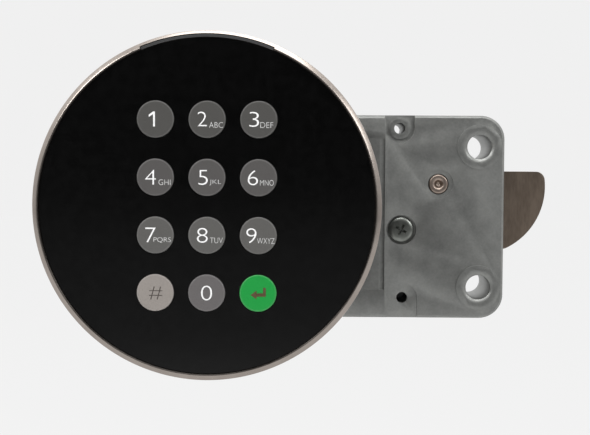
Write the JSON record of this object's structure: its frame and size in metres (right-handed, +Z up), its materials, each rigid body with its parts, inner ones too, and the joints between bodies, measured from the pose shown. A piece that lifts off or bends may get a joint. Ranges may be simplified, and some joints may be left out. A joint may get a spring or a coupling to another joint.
{
  "type": "keypad deadbolt lock",
  "caption": "Electronic safe lock: round keypad with a black face and metal ring in front of a die-cast lock case with a swinging bolt.",
  "frame": {"origin": "centre of the four mounting holes of the lock case, on the mounting face in which the raised rings round those holes end", "axes": "+X to the right seen from the keypad's face, towards the bolt; +Y from the user into the safe; +Z up"},
  "size_m": [0.1451, 0.053, 0.0944],
  "materials": {
    "satin_metal": "satin nickel",
    "black_panel": "smooth, slightly glossy",
    "smoked_window": "smoked, glossy",
    "grey_key": "smooth dark grey",
    "light_key": "smooth warm grey",
    "green_key": "smooth green",
    "clear_sheet": "clear",
    "black_plastic": "fine texture",
    "switch_plastic": "moulded",
    "green_board": "solder resist",
    "zinc_steel": "zinc plated",
    "battery_case": "printed steel, no lettering",
    "cast_zinc": "as cast, fine mottle",
    "bolt_zinc": "as cast, brown grey",
    "warm_nickel": "warm nickel",
    "spring_steel": "drawn wire",
    "white_plastic": "moulded"
  },
  "bodies": {
    "lock_set": {"bezel_ring": "satin_metal", "status_window": "smoked_window", "face_panel": "black_panel", "light_guide": "clear_sheet", "key_switches": "switch_plastic", "keypad_board": "green_board", "board_screws": "zinc_steel", "keypad_chip": "switch_plastic", "buzzer": "black_plastic", "keypad_socket": "white_plastic", "rear_housing": "black_plastic", "base_plate": "black_plastic", "battery_contacts": "switch_plastic", "lock_case": "cast_zinc", "lock_cover": "zinc_steel", "cover_screws": "zinc_steel", "bolt_pivot_pin": "zinc_steel", "bolt_spring": "spring_steel", "guide_pin": "warm_nickel", "drive_motor": "zinc_steel", "motor_cradle": "black_plastic", "bearing_block": "bolt_zinc", "block_screw": "warm_nickel", "lock_board": "green_board", "lock_board_screws": "zinc_steel", "lock_chip": "switch_plastic", "cable_jack": "white_plastic", "bolt_switch": "switch_plastic"},
    "key_1": {"key_1": "grey_key"},
    "key_2": {"key_2": "grey_key"},
    "key_3": {"key_3": "grey_key"},
    "key_4": {"key_4": "grey_key"},
    "key_5": {"key_5": "grey_key"},
    "key_6": {"key_6": "grey_key"},
    "key_7": {"key_7": "grey_key"},
    "key_8": {"key_8": "grey_key"},
    "key_9": {"key_9": "grey_key"},
    "key_hash": {"key_hash": "light_key"},
    "key_0": {"key_0": "grey_key"},
    "key_enter": {"key_enter": "green_key"},
    "battery_drawer": {"battery_tray": "black_plastic", "battery": "battery_case"},
    "bolt": {"swing_bolt": "bolt_zinc"},
    "slide": {"locking_slide": "zinc_steel"},
    "screw": {"drive_screw": "zinc_steel"}
  },
  "joints": [
    {"name": "key_1_press", "type": "slide", "parent": "lock_set", "child": "key_1", "axis": [0, 1, 0], "range_m": [0, 0.0007], "stiffness_N_per_m": 1500, "springref_m": -0.0004},
    {"name": "key_2_press", "type": "slide", "parent": "lock_set", "child": "key_2", "axis": [0, 1, 0], "range_m": [0, 0.0007], "stiffness_N_per_m": 1500, "springref_m": -0.0004},
    {"name": "key_3_press", "type": "slide", "parent": "lock_set", "child": "key_3", "axis": [0, 1, 0], "range_m": [0, 0.0007], "stiffness_N_per_m": 1500, "springref_m": -0.0004},
    {"name": "key_4_press", "type": "slide", "parent": "lock_set", "child": "key_4", "axis": [0, 1, 0], "range_m": [0, 0.0007], "stiffness_N_per_m": 1500, "springref_m": -0.0004},
    {"name": "key_5_press", "type": "slide", "parent": "lock_set", "child": "key_5", "axis": [0, 1, 0], "range_m": [0, 0.0007], "stiffness_N_per_m": 1500, "springref_m": -0.0004},
    {"name": "key_6_press", "type": "slide", "parent": "lock_set", "child": "key_6", "axis": [0, 1, 0], "range_m": [0, 0.0007], "stiffness_N_per_m": 1500, "springref_m": -0.0004},
    {"name": "key_7_press", "type": "slide", "parent": "lock_set", "child": "key_7", "axis": [0, 1, 0], "range_m": [0, 0.0007], "stiffness_N_per_m": 1500, "springref_m": -0.0004},
    {"name": "key_8_press", "type": "slide", "parent": "lock_set", "child": "key_8", "axis": [0, 1, 0], "range_m": [0, 0.0007], "stiffness_N_per_m": 1500, "springref_m": -0.0004},
    {"name": "key_9_press", "type": "slide", "parent": "lock_set", "child": "key_9", "axis": [0, 1, 0], "range_m": [0, 0.0007], "stiffness_N_per_m": 1500, "springref_m": -0.0004},
    {"name": "key_hash_press", "type": "slide", "parent": "lock_set", "child": "key_hash", "axis": [0, 1, 0], "range_m": [0, 0.0007], "stiffness_N_per_m": 1500, "springref_m": -0.0004},
    {"name": "key_0_press", "type": "slide", "parent": "lock_set", "child": "key_0", "axis": [0, 1, 0], "range_m": [0, 0.0007], "stiffness_N_per_m": 1500, "springref_m": -0.0004},
    {"name": "key_enter_press", "type": "slide", "parent": "lock_set", "child": "key_enter", "axis": [0, 1, 0], "range_m": [0, 0.0007], "stiffness_N_per_m": 1500, "springref_m": -0.0004},
    {"name": "battery_drawer_slide", "type": "slide", "parent": "lock_set", "child": "battery_drawer", "axis": [0, 0, -1], "range_m": [0, 0.05]},
    {"name": "bolt_swing", "type": "hinge", "parent": "lock_set", "child": "bolt", "pos_m": [0.0334, 0.0119, 0.0089], "axis": [0, 1, 0], "range_deg": [0, 84], "stiffness_Nm_per_rad": 0.004, "springref_deg": -28.65, "deforming": ["bolt_spring"]},
    {"name": "slide_travel", "type": "slide", "parent": "lock_set", "child": "slide", "axis": [-1, 0, 0], "range_m": [0, 0.00415]},
    {"name": "screw_turn", "type": "hinge", "parent": "lock_set", "child": "screw", "pos_m": [0, 0.0125, 0.0089], "axis": [1, 0, 0], "range_deg": [0, 742]}
  ],
  "couplings": [
    {"joint": "slide_travel", "follows": "bolt_swing", "m_per_rad": 0.0028},
    {"joint": "screw_turn", "follows": "bolt_swing", "ratio": 8.7965}
  ]
}
